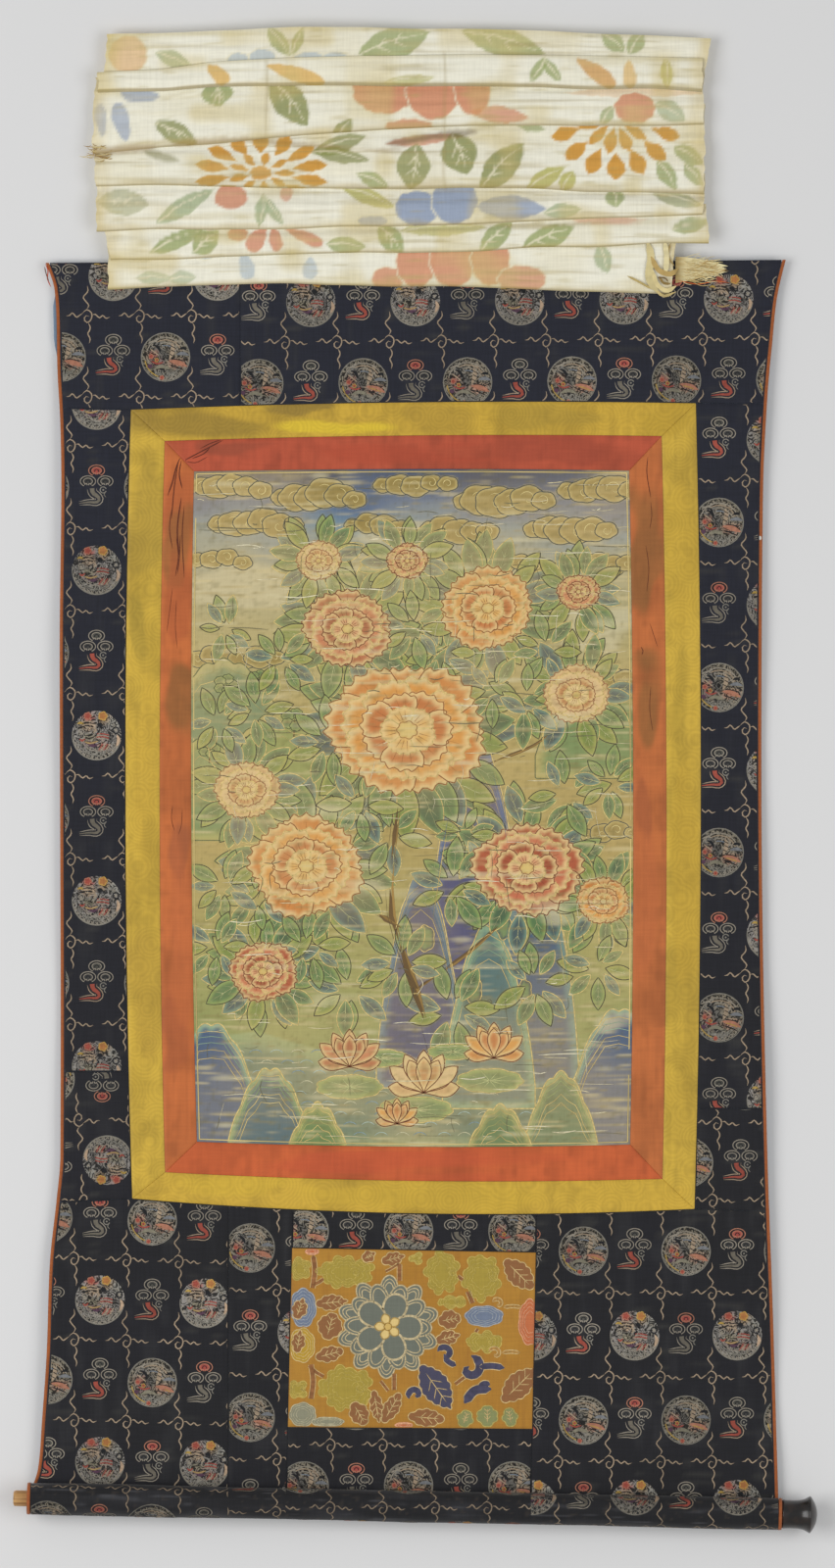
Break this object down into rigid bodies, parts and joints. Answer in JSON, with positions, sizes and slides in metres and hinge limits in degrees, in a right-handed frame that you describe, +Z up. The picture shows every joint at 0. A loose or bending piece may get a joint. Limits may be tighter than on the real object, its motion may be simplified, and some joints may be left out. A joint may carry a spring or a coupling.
{
  "type": "thangka scroll painting",
  "caption": "Hanging painting on cloth in red and yellow silk frames, with a pieced brocade mount, a folded silk veil above and a foot rolled on a wooden dowel.",
  "frame": {"origin": "middle of the brocade's top edge, at mid thickness of the cloth", "axes": "+X to the right of someone facing the painting, +Y away from them towards the wall, +Z up"},
  "size_m": [0.7783, 0.0375, 1.4579],
  "materials": {
    "brocade": "woven silk brocade, matt ground",
    "yellow_silk": "silk damask, soft sheen, stained",
    "red_silk": "plain silk, soft sheen, faded",
    "painted_cloth": "distemper on cotton, matt, worn",
    "door_silk": "figured silk, soft sheen",
    "binding_silk": "plain silk strip",
    "lining_cotton": "plain blue cotton",
    "veil_silk": "thin resist-dyed silk",
    "dowel_wood": "bare turned wood",
    "knob_lacquer": "dark lacquer on turned wood"
  },
  "bodies": {
    "root": {"brocade_top_left": "brocade", "brocade_top": "brocade", "brocade_side_left": "brocade", "brocade_side_left_lower": "brocade", "brocade_side_right": "brocade", "brocade_side_right_lower": "brocade", "brocade_bottom_left": "brocade", "brocade_bottom_left_inner": "brocade", "brocade_above_door": "brocade", "brocade_below_door": "brocade", "brocade_bottom_right": "brocade", "brocade_roll": "brocade", "yellow_border_top": "yellow_silk", "yellow_border_bottom": "yellow_silk", "yellow_border_left": "yellow_silk", "yellow_border_right": "yellow_silk", "red_border_top": "red_silk", "red_border_bottom": "red_silk", "red_border_left": "red_silk", "red_border_right": "red_silk", "painting": "painted_cloth", "door_panel": "door_silk", "edge_binding_left": "binding_silk", "edge_binding_right": "binding_silk", "roll_binding_left": "binding_silk", "roll_binding_right": "binding_silk", "back_lining": "lining_cotton", "veil": "veil_silk", "veil_torn_end": "veil_silk", "dowel": "dowel_wood", "knob": "knob_lacquer"}
  },
  "joints": []
}
